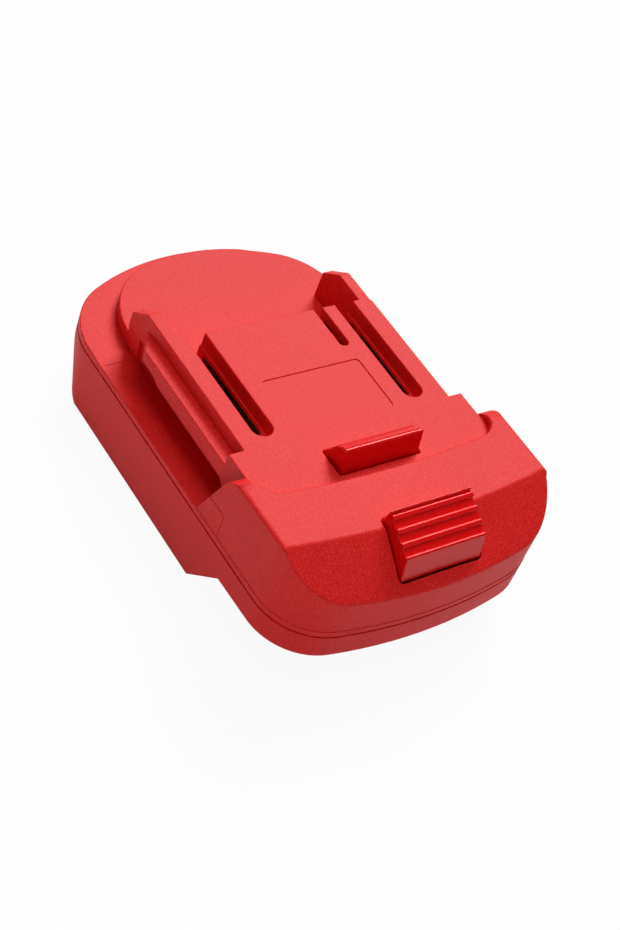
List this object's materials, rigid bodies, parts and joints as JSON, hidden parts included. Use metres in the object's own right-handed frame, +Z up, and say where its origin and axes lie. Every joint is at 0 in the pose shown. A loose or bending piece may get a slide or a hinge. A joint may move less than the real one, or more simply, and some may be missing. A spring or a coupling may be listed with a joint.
{
  "type": "tool battery adapter",
  "caption": "Red moulded adapter that slides onto a battery pack and carries a tool on its upper rails, with terminal slots and a sprung release latch.",
  "frame": {"origin": "middle of the resting face, below the middle of the case's length and width", "axes": "+X across the case to the right of an observer who looks from the nose to the rear; +Y along the case from the nose with the release button to the round rear; +Z up, from the battery bay to the tool rails"},
  "size_m": [0.076, 0.12, 0.0414],
  "materials": {
    "shell_red": "fine spark-eroded grain",
    "latch_red": "smooth moulded gloss",
    "spring_steel": "bright drawn wire",
    "insulator_black": "fine matte",
    "contact_brass": "plain stamped sheet",
    "blade_plated": "tin plated",
    "lead_red": "smooth insulation",
    "lead_black": "smooth insulation",
    "lead_white": "smooth insulation",
    "sleeve_red": "shrunk sleeve",
    "sleeve_black": "shrunk sleeve",
    "screw_steel": "zinc plated"
  },
  "bodies": {
    "case": {"upper_shell": "shell_red", "lower_shell": "shell_red", "latch_spring_left": "spring_steel", "latch_spring_right": "spring_steel", "terminal_carrier": "insulator_black", "contact_positive": "contact_brass", "contact_negative": "contact_brass", "contact_signal": "contact_brass", "battery_terminal_block": "insulator_black", "blade_positive": "blade_plated", "blade_negative": "blade_plated", "blade_signal": "blade_plated", "lead_positive": "lead_red", "lead_negative": "lead_black", "lead_signal": "lead_white", "sleeves_positive": "sleeve_red", "sleeves_negative": "sleeve_black", "sleeves_signal": "sleeve_black", "case_screws": "screw_steel", "carrier_screws": "screw_steel", "block_screws": "screw_steel"},
    "latch": {"release_latch": "latch_red"}
  },
  "joints": [
    {"name": "latch_slide", "type": "slide", "parent": "case", "child": "latch", "axis": [0, 0, -1], "range_m": [0, 0.0055], "stiffness_N_per_m": 1500, "springref_m": -0.003, "deforming": ["latch_spring_left", "latch_spring_right"]}
  ]
}
